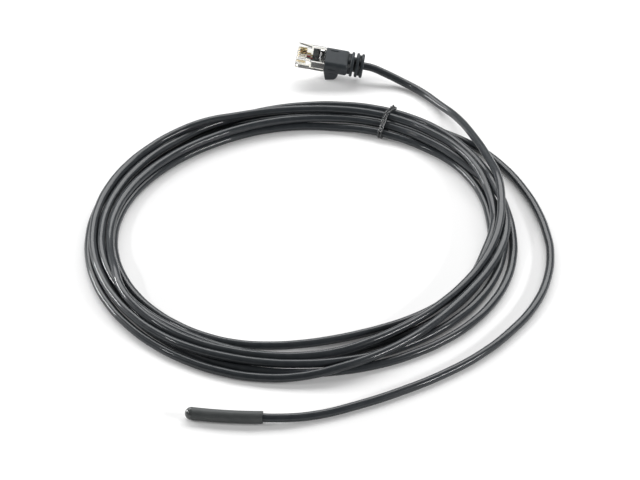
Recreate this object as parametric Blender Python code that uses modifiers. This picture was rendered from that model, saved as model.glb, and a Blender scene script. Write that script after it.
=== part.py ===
# Rack temperature sensor: a rubber-sleeved probe on a long thin cable, coiled and tied as packed, with a
# clear modular plug and a ribbed boot on the far end. Metres, +Z up. The origin is on the surface that it
# lies on, below the middle of the probe, and +X runs along the probe towards its cable.
import math

import bmesh
import bpy
from mathutils import Euler, Matrix, Vector

# Clearances
FIT_GAP = 0.0003          # between two pieces that touch
BLADE_GAP = 0.00006       # each side of a contact blade in its slot
FLOOR_GAP = 0.00005       # under a cord that lies on the surface

# Cable
CABLE_DIAMETER = 0.0040
CORE_DIAMETER = 0.0008

# Probe, along X
SLEEVE_DIAMETER = 0.0058
SLEEVE_LENGTH = 0.0309
SLEEVE_EDGE = 0.00025
TIP_SHOULDER = 0.0006
SPIGOT_LENGTH = 0.0024
BEAD_DIAMETER = 0.0018
BEAD_LENGTH = 0.0028
LEG_DIAMETER = 0.0003
LEG_LENGTH = 0.0068
JOINT_SLEEVE_DIAMETER = 0.0018
JOINT_SLEEVE_BORE = 0.0013
JOINT_SLEEVE_LENGTH = 0.0070
PROBE_JACKET_LENGTH = 0.0120

# Plug housing, in the plug's own frame: X from the nose face to the cable, Z towards the contacts
PLUG_WIDTH = 0.01168
PLUG_HEIGHT = 0.0066
PLUG_FRONT_LENGTH = 0.0148
SKIRT_LENGTH = 0.0067
SKIRT_WIDTH = 0.0106
SKIRT_HEIGHT = 0.0058
HOUSING_EDGE = 0.00025
CAVITY_START = 0.0074
CAVITY_WIDTH = 0.0092
CAVITY_HEIGHT = 0.0046
CHANNEL_START = 0.0012
CHANNEL_HEIGHT = 0.0012
CHANNEL_Z = -0.0009
CHANNEL_SIDE = 0.0002
CONTACT_COUNT = 8
CONTACT_PITCH = 0.00102
CONTACT_THICKNESS = 0.00035
CONTACT_FRONT = 0.0006
CONTACT_LENGTH = 0.0043
CONTACT_RECESS = 0.0006
CONTACT_TOOTH = 0.0009
WINDOW_START = 0.0119
WINDOW_LENGTH = 0.0020
WINDOW_WIDTH = 0.0070
BAR_DROP = 0.0012
BAR_THICKNESS = 0.0008
LATCH_ROOT = 0.0007
LATCH_LENGTH = 0.0150
LATCH_ANGLE = math.radians(15.5)
LATCH_THICKNESS = 0.0010
LATCH_WIDTH = 0.0060
LATCH_SHOULDER = 0.0078
LATCH_TAIL_WIDTH = 0.0032

# Boot, in the plug's own frame
BOOT_WIDTH = 0.0124
BOOT_HEIGHT = 0.0076
BOOT_CORNER = 0.0020
BOOT_BODY_END = 0.0270
BOOT_TAPER_LENGTH = 0.0009
BOOT_TAPER = 0.0004
BOOT_MOUTH_GAP = 0.0002
FILLING_END_GAP = 0.0009
HUMP_WIDTH = 0.0114
HUMP_FRONT = 0.0166
HUMP_DEPTH = 0.0060
HUMP_LENGTH = 0.0035
HUMP_REAR_DEPTH = 0.0049
HUMP_FRONT_LEAN = 0.0015
HUMP_REAR_LENGTH = 0.0028
HUMP_WALL = 0.0009
HUMP_EDGE = 0.0005
HUMP_CAVITY_LENGTH = 0.0028
RIB_COUNT = 3
RIB_FIRST = 0.0021
RIB_PITCH = 0.0026
RIB_THICKNESS = 0.0015
RIB_DIAMETER = 0.0128
RIB_STEP = 0.00015
RIB_EDGE = 0.0004
NECK_DIAMETER = 0.0068
BRIDGE_REACH = 0.0102
BRIDGE_SIDE_WIDTH = 0.0050
BRIDGE_TOP_WIDTH = 0.0020
MARK_START = 0.0170
MARK_LENGTH = 0.0042
MARK_WIDTH = 0.0006
MARK_DEPTH = 0.0003
MARK_INSET = 0.0027

# Core count and jacket inside the boot
PLUG_CORE_COUNT = 4
BOOT_JACKET_START = 0.0222

# Place of the plug on the surface
PLUG_X = 0.0065
PLUG_Y = 0.27585
PLUG_ROLL = math.radians(16.7)
PLUG_PITCH = math.radians(8.7)

# Coil of cable and its tie
COIL_CENTRE_X = 0.0227
COIL_CENTRE_Y = 0.1351
COIL_MEAN_RADIUS = 0.0968
COIL_WIDTH = 0.0165
COIL_HEIGHT = 0.0105
COIL_CORNER = 0.0045
TIE_WIRE = 0.0011
TIE_ANGLE = math.radians(69.5)
TIE_PITCH = 0.0015
TIE_TAIL = 0.0026
TIE_TAIL_RISE = math.radians(30.0)
TIE_TWISTS = 1.0

# Routes of the two free stretches of cable: x, y, and height above the lying cable. Each ends beside the
# coil, at an angle round it.
PROBE_LEAD_ROUTE = [
    (0.0395, 0.0043, 0.0), (0.0595, 0.0136, 0.0), (0.0780, 0.0249, 0.0), (0.0957, 0.0381, 0.0),
    (0.1116, 0.0534, 0.0), (0.1245, 0.0710, 0.0), (0.1339, 0.0912, 0.0), (0.1394, 0.1125, 0.0),
    (0.1408, 0.1343, 0.0), (0.1365, 0.1552, 0.0), (0.1297, 0.1741, 0.0), (0.1208, 0.1918, 0.0),
    (0.1096, 0.2080, 0.0), (0.0952, 0.2215, 0.0), (0.0812, 0.2287, 0.0),
]
PROBE_LEAD_END = math.radians(66.0)
PLUG_LEAD_ROUTE = [
    (0.0523, 0.2742, 0.0036), (0.0612, 0.2708, 0.0013), (0.0718, 0.2637, 0.0002), (0.0828, 0.2510, 0.0008),
    (0.0910, 0.2390, 0.0028), (0.0968, 0.2272, 0.0050), (0.1028, 0.2137, 0.0061),
]
PLUG_LEAD_END = math.radians(37.0)
PLUG_LEAD_END_LIFT = 0.0064
ROUTE_STEP = 0.0100


# Scene, collections and materials
for old in list(bpy.data.objects):
    bpy.data.objects.remove(old, do_unlink=True)

part = bpy.data.collections.new("rack_temperature_sensor")
cutters = bpy.data.collections.new("cutters_and_guides")
bpy.context.scene.collection.children.link(part)
bpy.context.scene.collection.children.link(cutters)


def make_material(name, colour, roughness, metallic=0.0, transmission=0.0):
    material = bpy.data.materials.new(name)
    material.use_nodes = True
    shader = material.node_tree.nodes["Principled BSDF"]
    shader.inputs["Base Color"].default_value = (*colour, 1.0)
    shader.inputs["Roughness"].default_value = roughness
    shader.inputs["Metallic"].default_value = metallic
    shader.inputs["Transmission Weight"].default_value = transmission
    return material


jacket_vinyl = make_material("jacket_vinyl", (0.055, 0.060, 0.060), 0.30)
sleeve_rubber = make_material("sleeve_rubber", (0.060, 0.064, 0.064), 0.55)
tip_resin = make_material("tip_resin", (0.070, 0.074, 0.074), 0.20)
boot_vinyl = make_material("boot_vinyl", (0.060, 0.064, 0.066), 0.45)
clear_plastic = make_material("clear_plastic", (0.95, 0.95, 0.93), 0.05, 0.0, 0.95)
gold_plate = make_material("gold_plate", (0.85, 0.66, 0.32), 0.25, 1.0)
tinned_copper = make_material("tinned_copper", (0.75, 0.73, 0.70), 0.35, 1.0)
bead_glass = make_material("bead_glass", (0.10, 0.12, 0.16), 0.20)
joint_tube = make_material("joint_tube", (0.10, 0.10, 0.11), 0.50)
core_red = make_material("core_red", (0.55, 0.06, 0.05), 0.40)
core_black = make_material("core_black", (0.04, 0.04, 0.04), 0.40)
core_white = make_material("core_white", (0.80, 0.79, 0.74), 0.40)
core_yellow = make_material("core_yellow", (0.80, 0.62, 0.15), 0.40)
tie_cover = make_material("tie_cover", (0.045, 0.045, 0.048), 0.25)


# Ways of making a solid
def add_piece(name, mesh, material, parent=None):
    piece = bpy.data.objects.new(name, mesh)
    part.objects.link(piece)
    piece.parent = parent
    mesh.materials.append(material)
    return piece


def add_cutter(name, mesh, parent=None):
    cutter = bpy.data.objects.new(name, mesh)
    cutters.objects.link(cutter)
    cutter.parent = parent
    cutter.hide_render = True
    cutter.display_type = "WIRE"
    return cutter


def combine(target, other, operation):
    step = target.modifiers.new(operation.lower() + "_" + other.name, "BOOLEAN")
    step.operation = operation
    step.solver = "EXACT"
    step.object = other


def combine_box(target, name, low, high, operation="DIFFERENCE"):
    # Take a box out of a piece of the plug, or add it
    combine(target, add_cutter(name, box_mesh(name, low, high), plug_frame), operation)


def round_edges(piece, width, segments=2, angle=math.radians(40)):
    bevel = piece.modifiers.new("rounded_edges", "BEVEL")
    bevel.width = width
    bevel.segments = segments
    bevel.limit_method = "ANGLE"
    bevel.angle_limit = angle


def box_mesh(name, low, high):
    shape = bmesh.new()
    bmesh.ops.create_cube(shape, size=1.0)
    for vert in shape.verts:
        for axis in range(3):
            vert.co[axis] = low[axis] if vert.co[axis] < 0 else high[axis]
    mesh = bpy.data.meshes.new(name)
    shape.to_mesh(mesh)
    shape.free()
    return mesh


def welded_mesh(name, curve_object, turn):
    # A curve's mesh with its end caps joined to its wall
    bpy.context.view_layer.update()
    evaluated = curve_object.evaluated_get(bpy.context.evaluated_depsgraph_get())
    mesh = bpy.data.meshes.new_from_object(evaluated)
    shape = bmesh.new()
    shape.from_mesh(mesh)
    bmesh.ops.remove_doubles(shape, verts=shape.verts, dist=0.000001)
    bmesh.ops.transform(shape, matrix=turn, verts=shape.verts)
    bmesh.ops.recalc_face_normals(shape, faces=shape.faces)
    shape.to_mesh(mesh)
    shape.free()
    mesh.name = name
    mesh.materials.clear()
    curve = curve_object.data
    bpy.data.objects.remove(curve_object, do_unlink=True)
    bpy.data.curves.remove(curve)
    return mesh


# A flat outline in (x, z), turned upright
ALONG_Y = Matrix(((1, 0, 0, 0), (0, 0, -1, 0), (0, 1, 0, 0), (0, 0, 0, 1)))


def prism_mesh(name, outline, half_width):
    # A flat outline in (x, z) made thick across Y
    curve = bpy.data.curves.new(name, "CURVE")
    curve.dimensions = "2D"
    curve.fill_mode = "BOTH"
    curve.extrude = half_width
    line = curve.splines.new("POLY")
    line.points.add(len(outline) - 1)
    for point, (x, z) in zip(line.points, outline):
        point.co = (x, z, 0.0, 1.0)
    line.use_cyclic_u = True
    guide = bpy.data.objects.new(name, curve)
    cutters.objects.link(guide)
    return welded_mesh(name, guide, ALONG_Y)


def lofted_mesh(name, sections):
    # A skin through outlines in (y, z), each at its own x, closed at both ends
    shape = bmesh.new()
    rings = [[shape.verts.new((x, y, z)) for y, z in outline] for x, outline in sections]
    for ring, following in zip(rings, rings[1:]):
        for index, corner in enumerate(ring):
            after = (index + 1) % len(ring)
            shape.faces.new((corner, ring[after], following[after], following[index]))
    shape.faces.new(rings[0])
    shape.faces.new(rings[-1])
    bmesh.ops.recalc_face_normals(shape, faces=shape.faces)
    mesh = bpy.data.meshes.new(name)
    shape.to_mesh(mesh)
    shape.free()
    return mesh


def rounded_rectangle(width, height, radius, centre=(0.0, 0.0), corner_steps=3):
    outline = []
    corners = [(1, 1, 0.0), (-1, 1, 0.5 * math.pi), (-1, -1, math.pi), (1, -1, 1.5 * math.pi)]
    for side_a, side_b, start in corners:
        for step in range(corner_steps + 1):
            angle = start + 0.5 * math.pi * step / corner_steps
            a = side_a * (width / 2 - radius) + radius * math.cos(angle)
            b = side_b * (height / 2 - radius) + radius * math.sin(angle)
            outline.append((centre[0] + a, centre[1] + b))
    return outline


def turned_mesh(name, profile, steps, closed, along_x):
    # A profile of (station, radius) turned round its axis, outer side from the high station to the low one
    source = bpy.data.meshes.new(name)
    points = [(radius, 0.0, station) for station, radius in profile]
    edges = [(index, index + 1) for index in range(len(points) - 1)]
    if closed:
        edges.append((len(points) - 1, 0))
    source.from_pydata(points, edges, [])
    guide = bpy.data.objects.new(name, source)
    cutters.objects.link(guide)
    screw = guide.modifiers.new("turn", "SCREW")
    screw.axis = "Z"
    screw.steps = steps
    screw.render_steps = steps
    screw.use_merge_vertices = True
    screw.merge_threshold = 0.00001
    bpy.context.view_layer.update()
    evaluated = guide.evaluated_get(bpy.context.evaluated_depsgraph_get())
    mesh = bpy.data.meshes.new_from_object(evaluated)
    if along_x:
        mesh.transform(Matrix.Rotation(math.radians(90), 4, "Y"))
    mesh.name = name
    mesh.shade_smooth()
    mesh.set_sharp_from_angle(angle=math.radians(35))
    bpy.data.objects.remove(guide, do_unlink=True)
    bpy.data.meshes.remove(source)
    return mesh


def shift(mesh, x=0.0, y=0.0, z=0.0):
    mesh.transform(Matrix.Translation((x, y, z)))
    return mesh


def quarter_arc(centre_station, radius, steps):
    # From the full radius round to the axis, towards lower stations
    arc = []
    for step in range(steps + 1):
        angle = 0.5 * math.pi * step / steps
        arc.append((centre_station - radius * math.sin(angle), radius * math.cos(angle)))
    return arc


def smooth_route(points, spacing):
    # Even points along one smooth curve that passes through the route's own points
    ends = [2 * points[0] - points[1]] + points + [2 * points[-1] - points[-2]]
    fine = []
    for index in range(1, len(ends) - 2):
        before, start, finish, after = ends[index - 1:index + 3]
        gap_a = (start - before).length ** 0.5
        gap_b = (finish - start).length ** 0.5
        gap_c = (after - finish).length ** 0.5
        middle = (finish - start) / gap_b
        slope_start = (start - before) / gap_a - (finish - before) / (gap_a + gap_b) + middle
        slope_finish = middle - (after - start) / (gap_b + gap_c) + (after - finish) / gap_c
        for step in range(20):
            t = step / 20
            fine.append(
                (2 * t ** 3 - 3 * t ** 2 + 1) * start + (t ** 3 - 2 * t ** 2 + t) * gap_b * slope_start
                + (3 * t ** 2 - 2 * t ** 3) * finish + (t ** 3 - t ** 2) * gap_b * slope_finish)
    fine.append(points[-1])
    lengths = [0.0]
    for start, finish in zip(fine, fine[1:]):
        lengths.append(lengths[-1] + (finish - start).length)
    count = max(2, round(lengths[-1] / spacing))
    even = [fine[0]]
    index = 0
    for step in range(1, count):
        goal = lengths[-1] * step / count
        while lengths[index + 1] < goal:
            index += 1
        share = (goal - lengths[index]) / (lengths[index + 1] - lengths[index])
        even.append(fine[index].lerp(fine[index + 1], share))
    return even + [fine[-1]]


def tube(name, points, diameter, material, parent=None, bevel_resolution=2):
    curve = bpy.data.curves.new(name, "CURVE")
    curve.dimensions = "3D"
    curve.bevel_depth = diameter / 2
    curve.bevel_resolution = bevel_resolution
    curve.use_fill_caps = True
    line = curve.splines.new("POLY")
    line.points.add(len(points) - 1)
    for point, place in zip(line.points, points):
        point.co = (*place, 1.0)
    curve.materials.append(material)
    piece = bpy.data.objects.new(name, curve)
    part.objects.link(piece)
    piece.parent = parent
    return piece


# Probe: places along X and the height of its axis
sleeve_radius = SLEEVE_DIAMETER / 2
probe_length = SLEEVE_LENGTH + TIP_SHOULDER + FIT_GAP + sleeve_radius
sleeve_back = probe_length / 2
sleeve_front = sleeve_back - SLEEVE_LENGTH
probe_height = sleeve_radius
jacket_radius = CABLE_DIAMETER / 2
sleeve_bore = jacket_radius + FIT_GAP
tip_back = sleeve_front - FIT_GAP
dome_centre = tip_back - TIP_SHOULDER
bead_radius = BEAD_DIAMETER / 2
bead_middle = dome_centre + bead_radius / 2
bead_back = bead_middle + BEAD_LENGTH / 2
leg_offset = JOINT_SLEEVE_DIAMETER / 2 + FIT_GAP / 2
jacket_front = sleeve_back - PROBE_JACKET_LENGTH
joint_front = bead_back + FIT_GAP + LEG_LENGTH - JOINT_SLEEVE_LENGTH / 2
joint_back = joint_front + JOINT_SLEEVE_LENGTH


def make_probe_sleeve():
    profile = [
        (sleeve_back, sleeve_radius - SLEEVE_EDGE), (sleeve_back - SLEEVE_EDGE, sleeve_radius),
        (sleeve_front, sleeve_radius), (sleeve_front, sleeve_bore), (sleeve_back, sleeve_bore),
    ]
    mesh = turned_mesh("probe_sleeve", profile, 32, True, True)
    add_piece("probe_sleeve", shift(mesh, z=probe_height), sleeve_rubber)


def make_probe_tip():
    spigot_radius = sleeve_bore - FIT_GAP
    spigot_back = sleeve_front + SPIGOT_LENGTH
    hole_radius = bead_radius + FIT_GAP
    hole_end = bead_middle - BEAD_LENGTH / 2 - FIT_GAP
    profile = [
        (hole_end, 0.0), (hole_end, hole_radius), (spigot_back, hole_radius), (spigot_back, spigot_radius),
        (tip_back, spigot_radius), (tip_back, sleeve_radius), *quarter_arc(dome_centre, sleeve_radius, 8),
    ]
    mesh = turned_mesh("probe_tip", profile, 32, False, True)
    add_piece("probe_tip", shift(mesh, z=probe_height), tip_resin)


def make_thermistor():
    taper = BEAD_LENGTH / 2 - bead_radius
    profile = [
        (bead_back, 0.0), (bead_back, bead_radius * 0.5), (bead_middle + taper, bead_radius),
        *quarter_arc(bead_middle - taper, bead_radius, 5),
    ]
    mesh = turned_mesh("thermistor_bead", profile, 16, False, True)
    add_piece("thermistor_bead", shift(mesh, z=probe_height), bead_glass)
    leg_front = bead_back + FIT_GAP
    for number, side in ((1, 1), (2, -1)):
        start = Vector((leg_front, side * bead_radius * 0.35, probe_height))
        spread = Vector((leg_front + LEG_LENGTH * 0.35, side * leg_offset, probe_height))
        finish = Vector((leg_front + LEG_LENGTH, side * leg_offset, probe_height))
        tube("thermistor_leg_%d" % number, [start, spread, finish], LEG_DIAMETER, tinned_copper)


def make_probe_wiring():
    core_front = bead_back + LEG_LENGTH + 2 * FIT_GAP
    core_back = jacket_front - FIT_GAP
    for number, side, colour in ((1, 1, core_red), (2, -1, core_black)):
        outer, inner = JOINT_SLEEVE_DIAMETER / 2, JOINT_SLEEVE_BORE / 2
        profile = [(joint_back, outer), (joint_front, outer), (joint_front, inner), (joint_back, inner)]
        mesh = turned_mesh("joint_sleeve_%d" % number, profile, 14, True, True)
        add_piece("joint_sleeve_%d" % number, shift(mesh, 0.0, side * leg_offset, probe_height), joint_tube)
        bend = joint_back + FIT_GAP
        route = [
            Vector((core_front, side * leg_offset, probe_height)),
            Vector((bend, side * leg_offset, probe_height)),
            Vector((core_back, side * jacket_radius * 0.4, probe_height)),
        ]
        tube("probe_core_%d" % number, route, CORE_DIAMETER, colour)
    profile = [
        (sleeve_back, 0.0), (sleeve_back, jacket_radius), (jacket_front, jacket_radius), (jacket_front, 0.0),
    ]
    mesh = turned_mesh("probe_jacket_end", profile, 24, False, True)
    add_piece("probe_jacket_end", shift(mesh, z=probe_height), jacket_vinyl)


# Hump under the boot: its side outline, from the boot's own sizes
boot_bottom = -BOOT_HEIGHT / 2
hump_low = boot_bottom - HUMP_DEPTH
hump_rear_low = boot_bottom - HUMP_REAR_DEPTH
hump_rear = HUMP_FRONT + HUMP_LENGTH
boot_front = PLUG_FRONT_LENGTH + BOOT_MOUTH_GAP
housing_bottom = -PLUG_HEIGHT / 2
housing_length = PLUG_FRONT_LENGTH + SKIRT_LENGTH
rib_places = [BOOT_BODY_END + RIB_FIRST + index * RIB_PITCH for index in range(RIB_COUNT)]
boot_end = rib_places[-1] + RIB_THICKNESS / 2

# Plug frame: turned as it lies, and lifted until the hump's lowest corner is on the surface
plug_turn = Euler((PLUG_ROLL, PLUG_PITCH, 0.0), "XYZ").to_matrix()
hump_corners = [
    Vector((x, side * HUMP_WIDTH / 2, z))
    for side in (-1, 1) for x, z in ((HUMP_FRONT, hump_low), (hump_rear, hump_rear_low))
]
plug_z = FLOOR_GAP - min((plug_turn @ corner).z for corner in hump_corners)
plug_frame = bpy.data.objects.new("plug_frame", None)
cutters.objects.link(plug_frame)
plug_frame.location = (PLUG_X, PLUG_Y, plug_z)
plug_frame.rotation_euler = (PLUG_ROLL, PLUG_PITCH, 0.0)

# Contact places across the plug
contact_places = [(index - (CONTACT_COUNT - 1) / 2) * CONTACT_PITCH for index in range(CONTACT_COUNT)]
first_core = (CONTACT_COUNT - PLUG_CORE_COUNT) // 2
core_places = contact_places[first_core:first_core + PLUG_CORE_COUNT]
channel_top = CHANNEL_Z + CHANNEL_HEIGHT / 2
housing_top = PLUG_HEIGHT / 2
cavity_top = CAVITY_HEIGHT / 2


def latch_top(x):
    return housing_bottom - math.tan(LATCH_ANGLE) * (x - LATCH_ROOT)


def make_plug_housing():
    half_width = PLUG_WIDTH / 2
    low = (0.0, -half_width, housing_bottom)
    housing = add_piece(
        "plug_housing", box_mesh("plug_housing", low, (PLUG_FRONT_LENGTH, half_width, housing_top)),
        clear_plastic, plug_frame)
    round_edges(housing, HOUSING_EDGE, 2)

    skirt_low = (PLUG_FRONT_LENGTH - SKIRT_LENGTH / 2, -SKIRT_WIDTH / 2, -SKIRT_HEIGHT / 2)
    skirt_high = (housing_length, SKIRT_WIDTH / 2, SKIRT_HEIGHT / 2)
    combine_box(housing, "skirt", skirt_low, skirt_high, "UNION")

    # Latch: a strip that falls away from under the nose, wide with shoulders and then a narrow tail
    root = LATCH_ROOT + LATCH_THICKNESS
    inside = housing_bottom + LATCH_THICKNESS / 2
    outline = [
        (LATCH_ROOT, inside), (root, inside), (root, latch_top(root)),
        (LATCH_LENGTH, latch_top(LATCH_LENGTH)), (LATCH_LENGTH, latch_top(LATCH_LENGTH) - LATCH_THICKNESS),
        (LATCH_ROOT, housing_bottom - LATCH_THICKNESS),
    ]
    mesh = prism_mesh("latch", outline, LATCH_WIDTH / 2)
    latch = add_cutter("latch", mesh, plug_frame)
    for side, name in ((1, "left"), (-1, "right")):
        reach = sorted((side * LATCH_TAIL_WIDTH / 2, side * LATCH_WIDTH))
        low = (LATCH_SHOULDER, reach[0], 2 * latch_top(LATCH_LENGTH))
        high = (LATCH_LENGTH + LATCH_THICKNESS, reach[1], housing_bottom)
        combine_box(latch, "shoulder_" + name, low, high)
    combine(housing, latch, "UNION")

    # Hollow for the cable's filling, open at the back, and the flat channel for the cores
    cavity_low = (CAVITY_START, -CAVITY_WIDTH / 2, -cavity_top)
    cavity_high = (housing_length + FIT_GAP, CAVITY_WIDTH / 2, cavity_top)
    combine_box(housing, "cavity", cavity_low, cavity_high)
    channel_half = CONTACT_COUNT * CONTACT_PITCH / 2 - CHANNEL_SIDE
    channel_low = (CHANNEL_START, -channel_half, CHANNEL_Z - CHANNEL_HEIGHT / 2)
    channel_high = (CAVITY_START + FIT_GAP, channel_half, channel_top)
    combine_box(housing, "channel", channel_low, channel_high)

    # One slot for each contact, open at the nose and at the top
    slot_half = CONTACT_THICKNESS / 2 + BLADE_GAP
    slot_end = CONTACT_FRONT + CONTACT_LENGTH + FIT_GAP
    for number, place in enumerate(contact_places, 1):
        slot_low = (-FIT_GAP, place - slot_half, channel_top - FIT_GAP)
        slot_high = (slot_end, place + slot_half, housing_top + FIT_GAP)
        combine_box(housing, "slot_%d" % number, slot_low, slot_high)

    # Strain-relief window, and the bar that is pressed down through it
    window_end = WINDOW_START + WINDOW_LENGTH
    window_low = (WINDOW_START, -WINDOW_WIDTH / 2, cavity_top - FIT_GAP)
    window_high = (window_end, WINDOW_WIDTH / 2, housing_top + FIT_GAP)
    combine_box(housing, "window", window_low, window_high)
    bar_low = cavity_top - BAR_DROP
    bar_front = WINDOW_START - BAR_THICKNESS
    bar_end = window_end - BAR_THICKNESS / 2
    outline = [
        (bar_front, cavity_top + BAR_THICKNESS / 4), (bar_front, cavity_top + BAR_THICKNESS),
        (bar_end, bar_low + BAR_THICKNESS), (bar_end, bar_low), (bar_end - BAR_THICKNESS / 2, bar_low),
    ]
    mesh = prism_mesh("strain_bar", outline, WINDOW_WIDTH / 2 - FIT_GAP)
    combine(housing, add_cutter("strain_bar", mesh, plug_frame), "UNION")


def make_contacts():
    top = housing_top - CONTACT_RECESS
    back = CONTACT_FRONT + CONTACT_LENGTH
    core_top = CHANNEL_Z + CORE_DIAMETER / 2
    foot = core_top + FIT_GAP / 2
    blade_low = foot + CONTACT_TOOTH
    tooth = CONTACT_LENGTH / 6
    round_off = CONTACT_RECESS * 0.3
    outline = [
        (back, top), (CONTACT_FRONT + CONTACT_RECESS, top), (CONTACT_FRONT + round_off, top - round_off),
        (CONTACT_FRONT, top - CONTACT_RECESS), (CONTACT_FRONT, blade_low),
    ]
    for centre in (CONTACT_FRONT + 2 * tooth, CONTACT_FRONT + 4 * tooth):
        outline += [(centre - tooth / 2, blade_low), (centre, foot), (centre + tooth / 2, blade_low)]
    outline += [(back, blade_low)]
    mesh = prism_mesh("contact", outline, CONTACT_THICKNESS / 2)
    mesh.materials.append(gold_plate)
    for number, place in enumerate(contact_places, 1):
        contact = bpy.data.objects.new("contact_%d" % number, mesh)
        part.objects.link(contact)
        contact.parent = plug_frame
        contact.location.y = place


def make_plug_wiring():
    core_start = CHANNEL_START + FIT_GAP
    core_end = BOOT_JACKET_START - FIT_GAP
    colours = [core_black, core_red, core_white, core_yellow]
    for number, place in enumerate(core_places, 1):
        route = [Vector((core_start, place, CHANNEL_Z)), Vector((core_end, place, CHANNEL_Z))]
        colour = colours[(number - 1) % len(colours)]
        tube("plug_core_%d" % number, route, CORE_DIAMETER, colour, plug_frame)
    profile = [
        (boot_end, 0.0), (boot_end, jacket_radius), (BOOT_JACKET_START, jacket_radius),
        (BOOT_JACKET_START, 0.0),
    ]
    mesh = turned_mesh("plug_jacket_end", profile, 24, False, True)
    add_piece("plug_jacket_end", mesh, jacket_vinyl, plug_frame)


def tail_profile():
    # Ribs on a thin neck, from the cable's end back into the body of the boot
    profile = [(boot_end, 0.0)]
    neck = NECK_DIAMETER / 2
    for index in reversed(range(RIB_COUNT)):
        front = rib_places[index] - RIB_THICKNESS / 2
        back = rib_places[index] + RIB_THICKNESS / 2
        rim = (RIB_DIAMETER - index * RIB_STEP) / 2
        if index < RIB_COUNT - 1:
            profile.append((back, neck))
        profile += [(back, rim - RIB_EDGE), (back - RIB_EDGE, rim)]
        profile += [(front + RIB_EDGE, rim), (front, rim - RIB_EDGE), (front, neck)]
    root = BOOT_BODY_END - RIB_FIRST
    return profile + [(root, neck), (root, 0.0)]


def hump_outline():
    # Deepest at its front, level to the surface that it rests on, and rounded away at the back
    inside = boot_bottom + BOOT_CORNER / 2
    front = HUMP_FRONT - HUMP_FRONT_LEAN
    outline = [(front, inside), (front, boot_bottom), (HUMP_FRONT, hump_low)]
    steps = 5
    for step in range(steps + 1):
        angle = 0.5 * math.pi * step / steps
        x = hump_rear + HUMP_REAR_LENGTH * math.sin(angle)
        outline.append((x, boot_bottom - HUMP_REAR_DEPTH * math.cos(angle)))
    outline.append((hump_rear + HUMP_REAR_LENGTH, inside))
    return outline


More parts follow.
